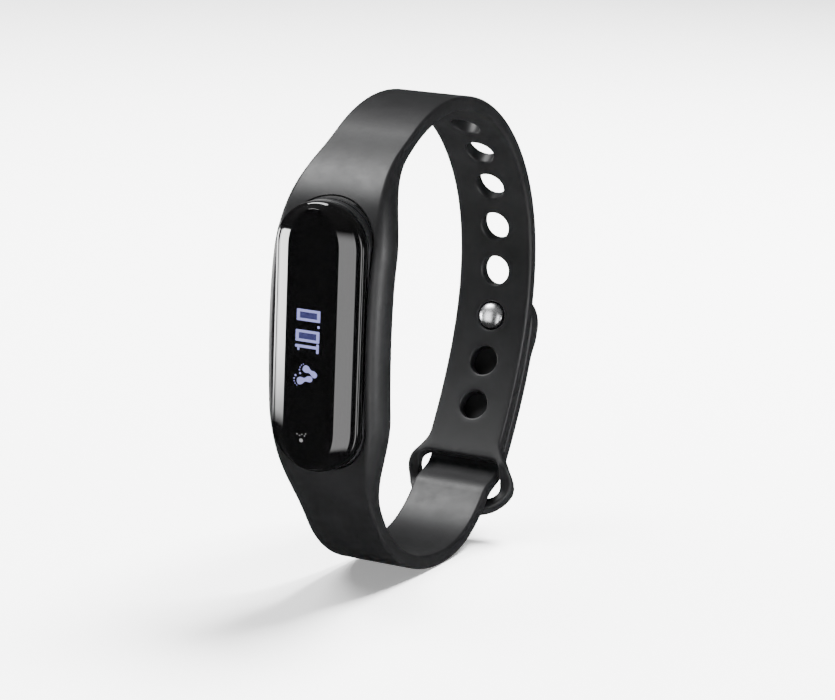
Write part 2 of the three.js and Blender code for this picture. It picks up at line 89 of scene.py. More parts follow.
# %% Where that curve stands in the frame
FACE_DEPTH = 7.5
lens_low, lens_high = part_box("front_lens")
POD_FACE = lens_low.y / MM + FACE_DEPTH
POD_MIDDLE = (lens_low.z + lens_high.z) / 2 / MM
OFFSET = np.array([POD_FACE, POD_MIDDLE]) - CURVE[0]


def on_band(points):
    """Bends (s, x, n) points in millimetres round the wrist, into the frame in metres."""
    points = np.asarray(points, float).reshape(-1, 3)
    s = points[:, 0] % AROUND
    y, z = (np.interp(s, LENGTH, CURVE[:, k]) + OFFSET[k] for k in (0, 1))
    ty, tz = (np.interp(s, LENGTH, TANGENT[:, k]) for k in (0, 1))
    return np.stack([points[:, 1], y - tz * points[:, 2], z + ty * points[:, 2]], 1) * MM


def in_tracker(points):
    """The same for the tracker's own (x, z, q): q is the depth from the wrist side to the face."""
    points = np.asarray(points, float).reshape(-1, 3)
    return np.stack([points[:, 0], POD_FACE - points[:, 2], POD_MIDDLE + points[:, 1]], 1) * MM


print("tracker's middle:", [round(c, 2) for c in (POD_FACE, POD_MIDDLE)], "mm")

# %% [markdown]
# ## Turning lists of points into solid pieces
# Most pieces here are lofts: a row of rings with the same number of points, joined ring to ring and
# closed at both ends.
# Corners sharper than about 35 degrees stay crisp, and everything else is shaded smooth.

# %% Mesh helpers
def add_mesh(name, points, faces, crisp=35):
    mesh = bpy.data.meshes.new(name)
    mesh.from_pydata([tuple(p) for p in points], [], faces)
    mesh.validate()
    piece = bpy.data.objects.new(name, mesh)
    bpy.context.scene.collection.objects.link(piece)
    tidy_normals(piece, crisp)
    return piece


def tidy_normals(piece, crisp=35):
    bm = bmesh.new()
    bm.from_mesh(piece.data)
    bmesh.ops.recalc_face_normals(bm, faces=bm.faces)
    for face in bm.faces:
        face.smooth = True
    for edge in bm.edges:
        edge.smooth = len(edge.link_faces) == 2 and edge.calc_face_angle(0) < math.radians(crisp)
    bm.to_mesh(piece.data)
    bm.free()


def loft_faces(count, rings):
    faces = []
    for k in range(rings - 1):
        for j in range(count):
            a, b = k * count + j, k * count + (j + 1) % count
            faces.append((a, b, b + count, a + count))
    faces.append(tuple(range(count))[::-1])
    faces.append(tuple(range((rings - 1) * count, rings * count)))
    return faces


def loft(name, rings, place, crisp=35):
    """A closed solid through the rings, after place() has moved their points into the frame."""
    points = place(np.concatenate([np.asarray(r, float) for r in rings]))
    return add_mesh(name, points, loft_faces(len(rings[0]), len(rings)), crisp)


def smooth(low, high, value):
    t = np.clip((value - low) / (high - low), 0, 1)
    return t * t * (3 - 2 * t)


def stations(start, end, pitch=0.7, guard=0.05):
    """Evenly spaced places from start to end, with one more close to each end so that seams shade evenly."""
    row = np.linspace(start, end, max(2, math.ceil(abs(end - start) / pitch)) + 1)
    step = math.copysign(guard, end - start)
    return np.concatenate([[row[0], row[0] + step], row[1:-1], [row[-1] - step, row[-1]]])


def cut(piece, *cutters):
    """Cuts solids out of a piece and leaves plain mesh behind."""
    for cutter in cutters:
        modifier = piece.modifiers.new("cut", "BOOLEAN")
        modifier.operation, modifier.solver, modifier.object = "DIFFERENCE", "EXACT", cutter
        graph = bpy.context.evaluated_depsgraph_get()
        mesh = bpy.data.meshes.new_from_object(piece.evaluated_get(graph))
        piece.modifiers.clear()
        piece.data = mesh
        bpy.data.objects.remove(cutter)
    tidy_normals(piece)
    return piece


# %% [markdown]
# ## The silicone's section
# The pod is wide and thick round the tracker and runs down to a plain flat strap on both sides.
# Its wrist side is flat, its lower edges are softly rounded and its outer edges roll over in a quarter
# ellipse.
# One function gives the half width and one the thickness at any place, so all pieces agree where they meet.

# %% Width, thickness and section
STRAP_HALF, STRAP_THICK, EDGE = 6.7, 2.3, 0.5
POD_HALF, POD_THICK = 10.15, 4.7


def from_middle(s):
    return abs(s - AROUND) if s > AROUND / 2 else abs(s)


def half_width(s):
    return POD_HALF + (STRAP_HALF - POD_HALF) * smooth(12, 29, from_middle(s))


def thickness(s):
    return POD_THICK + (STRAP_THICK - POD_THICK) * smooth(18, 32, from_middle(s))


def shoulder(s):
    """Width and height of the rounding of the outer edges."""
    spare = max(0.0, half_width(s) - STRAP_HALF)
    height = thickness(s)
    is_pod = height > STRAP_THICK + 1e-6
    return EDGE + spare * 0.5 * is_pod, min(EDGE + spare * is_pod, height - EDGE - 0.2)


def surface_height(s, x):
    """How far out the silicone's outer surface lies at s and x."""
    wide, high = shoulder(s)
    over = np.clip((abs(x) - (half_width(s) - wide)) / wide, 0, 1)
    return thickness(s) - high * (1 - math.sqrt(1 - over**2))


def section(s, base=0.0, flats=10, rounds=10):
    half, height = half_width(s), thickness(s)
    wide, high = shoulder(s)
    right = [(half - EDGE + EDGE * math.sin(a), EDGE - EDGE * math.cos(a))
             for a in np.linspace(0, math.pi / 2, 6)]
    right += [(half - wide * (1 - math.cos(a)), height - high * (1 - math.sin(a)))
              for a in np.linspace(0, math.pi / 2, rounds + 1)]
    top = [(x, height) for x in np.linspace(half - wide, wide - half, flats + 1)[1:-1]]
    left = [(-x, n) for x, n in reversed(right)]
    low = [(x, 0.0) for x in np.linspace(EDGE - half, half - EDGE, flats + 1)[1:-1]]
    return [(s, x, base + n) for x, n in right + top + left + low]


# %% [markdown]
# ## Outlines of the tracker
# The tracker is a long pebble: straight sides with a half ellipse at each end.
# The pocket in the silicone, the case and the glossy cover all use this one outline, moved in or out.

# %% Pebble outlines
TRACKER_HALF, TRACKER_HALF_LENGTH, END_AXIS = 7.7, 21.0, 7.0


def pebble(half, half_length, end_axis, steps=36, sides=14):
    ring = []
    for end in (1, -1):
        for a in np.linspace(0, math.pi, steps + 1):
            ring.append((end * half * math.cos(a), end * (half_length - end_axis + end_axis * math.sin(a))))
        reach = half_length - end_axis
        ring += [(-end * half, z) for z in np.linspace(end * reach, -end * reach, sides + 1)[1:-1]]
    return np.array(ring)


def moved_in(inset, **more):
    return pebble(TRACKER_HALF - inset, TRACKER_HALF_LENGTH - inset, END_AXIS - inset * 0.9, **more)


def at_depth(ring, q):
    return np.column_stack([ring, np.broadcast_to(q, len(ring))])


# %% [markdown]
# ## The pod: silicone that holds the tracker
# The real pod is moulded in one with the straps, and the tracker presses into its pocket from the front.
# The pocket's lip is not a knife edge. Its cutter flares out at the surface, and because the silicone
# curves away under the flat tracker, the height of the flare is worked out for each point of the lip.

# %% The pod and its pocket
POD_END = 24.0
POCKET_GAP, POCKET_FLOOR, WINDOW_INSET, LIP = 0.15, 1.3, 1.6, 0.28
RING_PITCH = 0.6


def lip_depth(x, z):
    """Depth q of the silicone's outer surface in front of the point (x, z) of the tracker."""
    s = z
    for _ in range(25):
        point = on_band([(s, x, surface_height(s % AROUND, x))])[0] / MM
        s += z - (point[2] - POD_MIDDLE)
    return POD_FACE - point[1]


def pocket_cutter():
    wall = moved_in(-POCKET_GAP)
    depth = np.array([lip_depth(*(p * 1.01)) for p in wall])
    rings = [at_depth(wall, POCKET_FLOOR), at_depth(wall, depth - LIP)]
    for a in np.radians([18, 36, 54, 72, 80]):
        flare = moved_in(-POCKET_GAP - LIP * (1 - math.cos(a)))
        rings.append(at_depth(flare, depth - LIP + LIP * math.sin(a)))
    rings.append(at_depth(moved_in(-POCKET_GAP - LIP), depth + 2.5))
    return loft("pocket_cutter", rings, in_tracker)


def window_cutter():
    outline = moved_in(WINDOW_INSET)
    return loft("window_cutter", [at_depth(outline, -6), at_depth(outline, 6)], in_tracker)


pod_sections = [section(s % AROUND) for s in stations(-POD_END, POD_END, RING_PITCH)]
pod = loft("pod_silicone", pod_sections, on_band)
cut(pod, pocket_cutter(), window_cutter())
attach(pod, "band_pod")
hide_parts("pod_frame")
print("pod:", len(pod.data.vertices), "points")

# %% [markdown]
# ## Where things lie along the strap
# The holes are equally spaced. The stud sits in the sixth, and the slot that the other strap passes through
# comes after the last. Everything is measured from the bending line at the top of the pod.

# %% Places along the strap
HOLE_COUNT, HOLE_PITCH, HOLE_RADIUS, RIM = 8, 7.78, 2.45, 0.32
BENDING_LINE = 27
FIRST_HOLE = BENDING_LINE + 37.4
holes_at = [FIRST_HOLE + HOLE_PITCH * k for k in range(HOLE_COUNT)]
STUD_AT = holes_at[5]
SLOT_LENGTH, KEEPER_ARM = 5.6, 2.3
SLOT = (holes_at[-1] + 9, holes_at[-1] + 9 + SLOT_LENGTH)
KEEPER_END = SLOT[1] + KEEPER_ARM
TAIL_BASE = STRAP_THICK + 0.3
TAIL_END = STUD_AT - 3.9
print("stud at", round(STUD_AT, 2), "and slot from", [round(v, 2) for v in SLOT])

# %% [markdown]
# ## Moulded plates
# The holed strap is a flat plate with soft edges everywhere: round its outline, round every hole and
# round the slot. It could be a boolean with a bevel, but bevels break up where many cuts meet.
# Here the plate's face is filled between its outlines with a fine net of triangles, and each outline then
# rolls over from the top face to the bottom one in its own quarter circles. The seam end stays square, so
# that it meets its neighbour.

# %% A plate with rolled edges
NET_CLEARANCE = 0.35


def outward(loop, seam):
    """Unit step outwards at each point of a loop that runs counterclockwise round material.
    At the seam it has no step along s."""
    edge = np.roll(loop, -1, 0) - loop
    edge /= np.linalg.norm(edge, axis=1)[:, None]
    side = np.column_stack([edge[:, 1], -edge[:, 0]])
    mean = side + np.roll(side, 1, 0)
    mean /= np.maximum((mean * mean).sum(1, keepdims=True) / 2, 0.5)
    if seam is not None:
        at = np.abs(loop[:, 0] - seam) < 1e-6
        widest = np.abs(loop[at, 1]).max()
        mean[at] = 0
        corner = at & (np.abs(np.abs(loop[:, 1]) - widest) < 1e-6)
        mean[corner, 1] = np.sign(loop[corner, 1])
    return mean


def plate(name, loops, radii, thick, place, seam=None, pitch=(0.8, 1.1), rounds=5):
    """loops[0] is the outline, counterclockwise. The others are holes, clockwise. Radii round their edges."""
    inner = [loop - outward(loop, seam if k == 0 else None) * r
             for k, (loop, r) in enumerate(zip(loops, radii))]
    low, high = inner[0].min(0), inner[0].max(0)
    grid = np.array([(s, x) for s in np.arange(low[0] + pitch[0] / 2, high[0], pitch[0])
                     for x in np.arange(low[1] + pitch[1] / 2, high[1], pitch[1])])
    border = np.concatenate(inner)
    clear = np.array([np.hypot(*(border - g).T).min() > NET_CLEARANCE for g in grid])
    flat = np.concatenate([border, grid[clear]])
    edges, start = [], 0
    for loop in inner:
        edges += [(start + i, start + (i + 1) % len(loop)) for i in range(len(loop))]
        start += len(loop)
    points, _, triangles, *_ = delaunay_2d_cdt([Vector(p) for p in flat], edges, [], 0, 1e-5)
    points = np.array([tuple(p) for p in points])
    kept = [t for t in triangles if inside(points[list(t)].mean(0), inner)]
    return close_plate(name, points, kept, loops, inner, radii, thick, place, rounds)


def inside(point, loops):
    count = 0
    for loop in loops:
        a, b = loop, np.roll(loop, -1, 0)
        crosses = (a[:, 1] > point[1]) != (b[:, 1] > point[1])
        with np.errstate(divide="ignore", invalid="ignore"):
            at = a[:, 0] + (point[1] - a[:, 1]) / (b[:, 1] - a[:, 1]) * (b[:, 0] - a[:, 0])
        count += int((crosses & (at > point[0])).sum())
    return count % 2 == 1


def close_plate(name, points, triangles, loops, inner, radii, thick, place, rounds):
    """Doubles the flat net into a top and a bottom and rolls each outline over between them."""
    count, start = len(points), 0
    solid = [np.column_stack([points, np.full(count, thick)]), np.column_stack([points, np.zeros(count)])]
    faces = [tuple(t) for t in triangles] + [tuple(i + count for i in reversed(t)) for t in triangles]
    total = 2 * count
    for loop, within, r in zip(loops, inner, radii):
        size = len(loop)
        rows = [np.arange(start, start + size)]
        swing = np.linspace(0, math.pi / 2, rounds + 1)[1:]
        profile = [(math.sin(a), thick - r * (1 - math.cos(a))) for a in swing]
        profile += [(out, thick - n) for out, n in reversed(profile)]
        for out, n in profile:
            solid.append(np.column_stack([within + (loop - within) * out, np.full(size, n)]))
            rows.append(np.arange(total, total + size))
            total += size
        rows.append(np.arange(start, start + size) + count)
        for upper, lower in zip(rows, rows[1:]):
            faces += [(upper[i], lower[i], lower[(i + 1) % size], upper[(i + 1) % size]) for i in range(size)]
        start += size
    return add_mesh(name, place(np.concatenate(solid)), [tuple(int(i) for i in f) for f in faces], 40)


# %% [markdown]
# ## The holed strap and its keeper loop
# Past the last hole the strap widens into a loop with a slot, and the other strap passes out through it.
# The loop starts in the strap's own plane and ends outside the strap that it holds, so its points are lifted
# along the slot before the plate is bent round the wrist.

# %% Outlines of the holed strap
NECK_END = 38.0
SLOT_HALF, KEEPER_HALF, KEEPER_CORNER, SLOT_CORNER, SLOT_EDGE = 7.65, 9.95, 6.0, 2.0, 0.4
KEEPER_FLARE, KEEPER_LIFT, RISE = 3.4, 0.5, (0.6, 1.2)
OUTLINE_PITCH = 0.7


def circle(centre, radius, steps=56):
    a = -np.linspace(0, 2 * math.pi, steps, endpoint=False)
    return np.column_stack([centre + radius * np.cos(a), radius * np.sin(a)])


def slot_outline():
    middle, reach = sum(SLOT) / 2, (SLOT[1] - SLOT[0]) / 2 - SLOT_CORNER
    ring = []
    for ds, dx, turn in ((1, -1, -90), (1, 1, 0), (-1, 1, 90), (-1, -1, 180)):
        for a in np.radians(turn + np.linspace(0, 90, 12)):
            ring.append((middle + ds * reach + SLOT_CORNER * math.cos(a),
                         dx * (SLOT_HALF - SLOT_CORNER) + SLOT_CORNER * math.sin(a)))
    return np.array(resample(ring, OUTLINE_PITCH))[::-1]


def resample(ring, pitch):
    """The same closed outline with long straight stretches split up."""
    more = []
    for a, b in zip(ring, ring[1:] + ring[:1]):
        parts = max(1, round(math.dist(a, b) / pitch))
        more += [tuple(np.add(a, np.subtract(b, a) * k / parts)) for k in range(parts)]
    return more


def keeper_half(s):
    """Half width of the strap, opening into the loop."""
    opening = smooth(SLOT[0] - KEEPER_FLARE, SLOT[0] + KEEPER_FLARE, s)
    return STRAP_HALF + (KEEPER_HALF - STRAP_HALF) * opening


def strap_outline():
    """Along one side, round the loop's end in a wide curve, and back."""
    lead = [(s, keeper_half(s)) for s in np.arange(NECK_END, KEEPER_END - KEEPER_CORNER, OUTLINE_PITCH)]
    for a in np.linspace(0, math.pi / 2, 24):
        s = KEEPER_END - KEEPER_CORNER + KEEPER_CORNER * math.sin(a)
        lead.append((s, min(keeper_half(s), KEEPER_HALF - KEEPER_CORNER * (1 - math.cos(a)))))
    right = spaced(lead, 0.45)
    return np.array(resample([(s, -x) for s, x in right] + right[::-1], OUTLINE_PITCH))


def spaced(line, least):
    """Drops points that lie closer to the last one than that, and keeps both ends."""
    kept = [line[0]]
    for point in line[1:-1]:
        if math.dist(point, kept[-1]) >= least and math.dist(point, line[-1]) >= least:
            kept.append(point)
    return kept + [line[-1]]


def lifted(points):
    """Lifts the loop out over the strap that it holds."""
    points = np.array(points, float)
    rise = smooth(SLOT[0] + RISE[0], SLOT[1] - RISE[1], points[:, 0])
    points[:, 2] += (TAIL_BASE + KEEPER_LIFT) * rise
    return on_band(points)


# %% Making the holed strap
outlines = [strap_outline(), slot_outline(), *[circle(s, HOLE_RADIUS) for s in holes_at]]
rims = [EDGE, SLOT_EDGE] + [RIM] * HOLE_COUNT
holed = plate("holed_strap", outlines, rims, STRAP_THICK, lifted, seam=NECK_END)
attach(holed, "upper_strap_body")
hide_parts("upper_strap")
print("holed strap:", len(holed.data.polygons), "faces")

# %% [markdown]
# ## Necks: where the straps bend as the band opens
# Each neck is a short stretch of silicone between the stiff pod and a strap.

# %% The two necks
def neck(name, start, end, node):
    piece = loft(name, [section(s % AROUND) for s in stations(start, end, RING_PITCH)], on_band)
    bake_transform(piece)
    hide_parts(node)
    return piece


upper_neck = neck("upper_neck", POD_END, NECK_END, "upper_strap")
lower_neck = neck("lower_neck", AROUND - POD_END, AROUND - NECK_END, "lower_strap")
print("necks made")

# %% [markdown]
# ## The plain strap and its tail
# The plain strap lies on the wrist, passes out through the slot and goes on outside the holed strap.
# It is a loft whose height out from the wrist changes along the way. The tail is parted at the two lines
# where it bends when it is peeled off.

# %% The plain strap
TAIL_SPLIT = 127.7
DROP = (0.5, 0.4)


def lower_base(s):
    return TAIL_BASE * (1 - float(smooth(SLOT[0] + DROP[0], SLOT[1] + DROP[1], s)))


lower_stations = stations(TAIL_SPLIT, AROUND - NECK_END, RING_PITCH)
lower = loft("plain_strap", [section(s, lower_base(s)) for s in lower_stations], on_band)
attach(lower, "lower_strap_body")
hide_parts("lower_strap")

# %% The tail
# Along the band the tail is parted at TAIL_SPLIT, 122.0, 118.0 and TIP_SPLIT.
TIP_SPLIT = 110.6
PLAIN_AT = 60.0


def tail_piece(name, start, end, nodes):
    piece = loft(name, [section_flat(s) for s in stations(start, end, RING_PITCH)], on_band)
    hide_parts(*nodes)
    return piece


def section_flat(s):
    """The section that the strap has in its plain stretch, out where the tail lies."""
    return [(s, x, TAIL_BASE + n) for _, x, n in section(PLAIN_AT)]


tail_bend = tail_piece("tail_bend", 122.0, TAIL_SPLIT, ["strap_tail"])
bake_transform(tail_bend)
tail_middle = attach(tail_piece("tail_middle", 118.0, 122.0, ["strap_tail"]), "tail_body")
tip_bend = tail_piece("tip_bend", TIP_SPLIT, 118.0, ["strap_tail", "tail_tip"])
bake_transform(tip_bend)
print("tail: three stretches")

# %% [markdown]
# ## The tab that carries the stud
# The tail ends in a rounded tab, a little thicker than the strap, with a round recess for the rivet's cap.
# It is the same kind of plate as the holed strap, with the thickening pulled out afterwards.

# %% The tab
TIP_THICK = STRAP_THICK + 1.0
TAB_RADIUS = 4.9
RIVET_DEPTH, BORE_RADIUS, SEAT_RADIUS, SEAT_GAP = 0.8, 1.35, 3.15, 0.15


def tab_outline():
    side = [(s, STRAP_HALF) for s in np.arange(TIP_SPLIT, TAIL_END + TAB_RADIUS, -OUTLINE_PITCH)]
    corner = [(TAIL_END + TAB_RADIUS * (1 - math.sin(a)), STRAP_HALF - TAB_RADIUS * (1 - math.cos(a)))
              for a in np.linspace(0, math.pi / 2, 24)]
    right = side + corner
    return np.array(resample(right + [(s, -x) for s, x in right[::-1]], OUTLINE_PITCH))


def tab_place(points):
    points = np.array(points, float)
    extra = 1 - smooth(STUD_AT + 2.5, STUD_AT + 6, points[:, 0])
    points[:, 2] = TAIL_BASE + points[:, 2] * (1 + extra * (TIP_THICK / STRAP_THICK - 1))
    return on_band(points)


def turned(name, profile, s, steps=64, crisp=35):
    """A solid of revolution standing on the band at s: profile is (radius, n) pairs from low to high."""
    a = np.linspace(0, 2 * math.pi, steps, endpoint=False)
    rings = [np.column_stack([s + r * np.cos(a), r * np.sin(a), np.full(steps, n)]) for r, n in profile]
    flat = np.concatenate(rings)
    out = on_band([(s, 0, 1)])[0] - on_band([(s, 0, 0)])[0]
    along = on_band([(s + 0.01, 0, 0)])[0] - on_band([(s - 0.01, 0, 0)])[0]
    out, along = out / np.linalg.norm(out), along / np.linalg.norm(along)
    base = on_band([(s, 0, 0)])[0]
    parts = (np.outer(flat[:, 0] - s, along), np.outer(flat[:, 1], (1, 0, 0)), np.outer(flat[:, 2], out))
    return add_mesh(name, base + sum(parts) * MM, loft_faces(steps, len(profile)), crisp)


tab = plate("tail_tab", [tab_outline()], [EDGE], STRAP_THICK, tab_place, seam=TIP_SPLIT)
CAP_LOW = TAIL_BASE + TIP_THICK - RIVET_DEPTH
bore_cutter = turned("bore_cutter", [(BORE_RADIUS, -2), (BORE_RADIUS, 9)], STUD_AT)
seat_cutter = turned("seat_cutter", [(SEAT_RADIUS, CAP_LOW - SEAT_GAP), (SEAT_RADIUS, 9)], STUD_AT)
cut(tab, bore_cutter, seat_cutter)
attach(tab, "tip_body")
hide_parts("tail_tip")
print("tab:", len(tab.data.vertices), "points")

# %% [markdown]
# ## The stud
# A polished steel stud holds the band closed. Its domed head sits in a hole on the wrist side, its neck
# runs through the strap, and a flat cap is pressed on from outside. Both are turned shapes, so a profile
# is all they need.

# %% Stud and cap
def dome(radius, low, high, steps=14):
    return [(radius * math.sin(a), low + (high - low) * (1 - math.cos(a)))
            for a in np.linspace(0.02, math.pi / 2, steps)]


HEAD, NECK, SHANK, CAP_RADIUS = 2.25, 1.5, 1.2, 3.0
SHANK_TOP = TAIL_BASE + TIP_THICK - 0.35
head = dome(HEAD, -0.9, 0.35) + [(HEAD, 0.75), (HEAD - 0.08, 0.98), (NECK, 1.3)]
stem = [(NECK, TAIL_BASE - 0.2), (SHANK, TAIL_BASE - 0.2), (SHANK, SHANK_TOP)]
stud = turned("stud_head", head + stem, STUD_AT)
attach(stud, "tip_body")
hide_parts("stud_pin")

CAP_TOP = CAP_LOW + RIVET_DEPTH
socket = [(BORE_RADIUS, SHANK_TOP + 0.15), (BORE_RADIUS, CAP_LOW)]
rim = [(CAP_RADIUS - 0.1, CAP_LOW), (CAP_RADIUS, CAP_LOW + 0.1), (CAP_RADIUS, CAP_TOP - 0.28),
       (CAP_RADIUS - 0.05, CAP_TOP - 0.14), (CAP_RADIUS - 0.18, CAP_TOP - 0.04), (CAP_RADIUS - 0.34, CAP_TOP)]
cap = turned("stud_cap_disc", socket + rim + [(0.05, CAP_TOP)], STUD_AT)
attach(cap, "tip_body")
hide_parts("stud_cap")
print("stud and cap turned")

# %% [markdown]
# ## The glossy cover
# The cover is one shell of black gloss plastic. Its long bevels are what catch the light, so the turns
# between wall, bevel and flat face are what matter: each is a small curve instead of a hard edge.
# The profile is a short list of outlines at their depths, with its corners rounded before it is lofted.

# %% The cover
def rounded_profile(stops, trims, steps=6):
    """Rounds each corner of a row of (half width, half length, end axis, depth) stops over that length."""
    stops = [np.array(s, float) for s in stops]
    row = [stops[0]]
    for before, here, after, trim in zip(stops, stops[1:], stops[2:], trims):
        back, on = before - here, after - here
        a = here + back * min(0.48, trim / np.linalg.norm(back[[0, 3]]))
        b = here + on * min(0.48, trim / np.linalg.norm(on[[0, 3]]))
        row += [a * (1 - t) ** 2 + here * 2 * t * (1 - t) + b * t**2 for t in np.linspace(0, 1, steps)]
    return row + [stops[-1]]


SHELL_LOW = 4.3
wall_stops = [(7.7, 21, 7, SHELL_LOW), (7.7, 21, 7, 4.95), (7.42, 20.9, 7, 5.55)]
bevel_stops = [(6.55, 20.6, 6.8, 5.95), (4.3, 20.1, 6, FACE_DEPTH), (3.4, 19.2, 5.1, FACE_DEPTH)]
outer = rounded_profile(wall_stops + bevel_stops, [0.3, 0.35, 0.3, 0.13])
inner = [(3.85, 19.2, 6, 6.6), (5.6, 19.7, 6.8, 5.0), (6.5, 20.0, 7, 4.65), (6.8, 20.1, 7, SHELL_LOW)]
cover_rings = [at_depth(pebble(*row[:3]), row[3]) for row in [*inner, *outer]]
cover = loft("gloss_cover", cover_rings, in_tracker, crisp=40)
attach(cover, "tracker_body")
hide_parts("front_lens")
print("cover:", len(outer), "rings outside")

# %% [markdown]
# ## The case behind the cover
# The case is what shows when the tracker is pushed out of its pocket: a moulded wall, and a rear cover
# whose raised pad comes through the pod's window so that its two gold contacts can reach a charger.

# %% Wall and rear cover
CASE_WALL, WALL_LOW, WALL_HIGH = 1.0, 2.6, 3.85
PLATE_LOW, PLATE_TOP, PAD_EDGE = 1.4, 2.2, 1.8
HOLLOW_INSET, HOLLOW_AT = 2.7, 0.95
CONTACT_X, CONTACT_Z, CONTACT_BORE = 2.5, -15.6, 1.15


def stepped(name, steps):
    """A loft of the tracker's outline, moved in and out at a row of depths."""
    return loft(name, [at_depth(moved_in(inset), q) for inset, q in steps], in_tracker)


case_wall = stepped("case_wall", [(CASE_WALL, WALL_LOW), (0.06, WALL_LOW), (0.0, WALL_LOW + 0.08),
                                  (0.0, WALL_HIGH - 0.08), (0.06, WALL_HIGH), (CASE_WALL, WALL_HIGH)])
cut(case_wall, stepped("case_bore", [(CASE_WALL, 2), (CASE_WALL, 5)]))
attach(case_wall, "tracker_body")
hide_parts("mid_frame")

rear = stepped("rear_plate", [(PAD_EDGE + 0.25, 0.15), (PAD_EDGE + 0.1, 0.19), (PAD_EDGE, 0.32),
                              (PAD_EDGE, PLATE_LOW), (0.12, PLATE_LOW), (0.0, PLATE_LOW + 0.12),
                              (0.0, PLATE_TOP)])


def peg(name, x, z, radius, low, high, steps=32):
    a = np.linspace(0, 2 * math.pi, steps, endpoint=False)
    ring = np.column_stack([x + radius * np.cos(a), z + radius * np.sin(a)])
    return loft(name, [at_depth(ring, low), at_depth(ring, high)], in_tracker)


hollow = stepped("rear_hollow", [(HOLLOW_INSET, HOLLOW_AT), (HOLLOW_INSET, 5)])
cut(rear, hollow, *[peg("contact_bore", x, CONTACT_Z, CONTACT_BORE, -2, 8) for x in (-CONTACT_X, CONTACT_X)])
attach(rear, "tracker_body")
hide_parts("rear_cover")
print("case wall and rear cover made")

# %% [markdown]
# ## What is lit under the cover
# The display shows a figure and a pair of footprints, turned so that they read along the band.
# They are thin inlays on the face. Each is drawn as a flat outline, laid a hair above the gloss, and
# given its own light. The grey touch mark gets a faint glow too, which is painted light.

# %% Thin inlays
LOW_SIDE, HIGH_SIDE = FACE_DEPTH + 0.002, FACE_DEPTH + 0.012


def inlay(name, outlines):
    points, faces = [], []
    for ring in outlines:
        start, count = len(points), len(ring)
        area = sum(a[0] * b[1] - b[0] * a[1] for a, b in zip(ring, ring[1:] + ring[:1]))
        ring = ring if area > 0 else ring[::-1]
        points += [(x, z, LOW_SIDE) for x, z in ring] + [(x, z, HIGH_SIDE) for x, z in ring]
        faces.append(tuple(start + k for k in range(count))[::-1])
        faces.append(tuple(start + count + k for k in range(count)))
        faces += [(start + k, start + (k + 1) % count, start + count + (k + 1) % count, start + count + k)
                  for k in range(count)]
    piece = add_mesh(name, in_tracker(points), faces)
    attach(piece, "tracker_body")
    return piece


def arc(x, z, r, angles):
    return [(x + r * math.cos(a), z + r * math.sin(a)) for a in angles]


def bar(x0, x1, z0, z1, r=0.13):
    """A bar with softly rounded corners."""
    corners = ((x1 - r, z1 - r), (x0 + r, z1 - r), (x0 + r, z0 + r), (x1 - r, z0 + r))
    ring = []
    for (x, z), turn in zip(corners, (0, 90, 180, 270)):
        ring += arc(x, z, r, np.radians(turn + np.linspace(0, 90, 5)))
    return ring


def nought(x0, x1, z0, z1, w=0.55, h=0.42):
    """A square-cornered nought made of four bars that meet at their ends."""
    return [bar(x0, x1, z1 - h, z1), bar(x0, x1, z0, z0 + h),
            bar(x0, x0 + w, z0 + h, z1 - h, 0.02), bar(x1 - w, x1, z0 + h, z1 - h, 0.02)]


# %% Figures, point and backlight
figures = nought(-2.45, 1.6, 2.85, 4.65) + nought(-2.55, 1.55, -0.35, 1.45)
figures += [bar(1.15, 1.55, 1.95, 2.35)]
figures += [bar(-2.6, 1.5, -1.3, -0.86), bar(1.06, 1.5, -1.95, -0.5), bar(-2.2, -1.84, -1.75, -1.3)]
lit_figures = inlay("lit_figures", figures)
glow = inlay("backlight", [bar(-1.86, 1.0, 3.3, 4.2, 0.02), bar(-1.96, 0.96, 0.1, 1.0, 0.02)])
print("figures:", len(figures), "strokes")

# %% Footprints and touch mark
def closed_curve(points, steps=6):
    """A smooth closed outline through a few points."""
    ring = []
    n = len(points)
    for i in range(n):
        p0, p1, p2, p3 = (np.array(points[(i + k) % n]) for k in (-1, 0, 1, 2))
        for t in np.linspace(0, 1, steps, endpoint=False):
            ring.append(tuple(0.5 * (2 * p1 + (p2 - p0) * t + (2 * p0 - 5 * p1 + 4 * p2 - p3) * t**2
                                     + (3 * p1 - p0 - 3 * p2 + p3) * t**3)))
    return ring


def sole(ball, heel):
    """A footprint's sole: a wide ball, a narrow waist and a round heel."""
    ball, heel = np.array(ball), np.array(heel)
    along = (heel - ball) / np.linalg.norm(heel - ball)
    across = np.array((-along[1], along[0]))
    length = np.linalg.norm(heel - ball)
    shape = [(-0.62, 0.0), (-0.42, 0.5), (0.15, 0.62), (length * 0.5, 0.34), (length - 0.1, 0.5),
             (length + 0.48, 0.3), (length + 0.52, -0.2), (length + 0.1, -0.48), (length * 0.5, -0.22),
             (0.1, -0.5), (-0.45, -0.42)]
    return closed_curve([tuple(ball + along * u + across * v) for u, v in shape])


TOE_RADII = (0.17, 0.12, 0.1, 0.09, 0.08)


def toes(*places):
    """Five round toes, from the big one to the small one."""
    turns = np.linspace(0, 2 * math.pi, 12, endpoint=False)
    return [arc(x, z, r, turns) for (x, z), r in zip(places, TOE_RADII)]


prints = [sole((-0.55, -4.6), (0.78, -5.25)), sole((-1.5, -6.5), (0.0, -6.05))]
prints += toes((-1.58, -5.3), (-1.72, -4.78), (-1.62, -4.36), (-1.38, -4.02), (-1.06, -3.82))
prints += toes((-2.38, -5.72), (-2.6, -6.2), (-2.58, -6.62), (-2.4, -6.98), (-2.1, -7.22))
footprints = inlay("lit_footprints", prints)

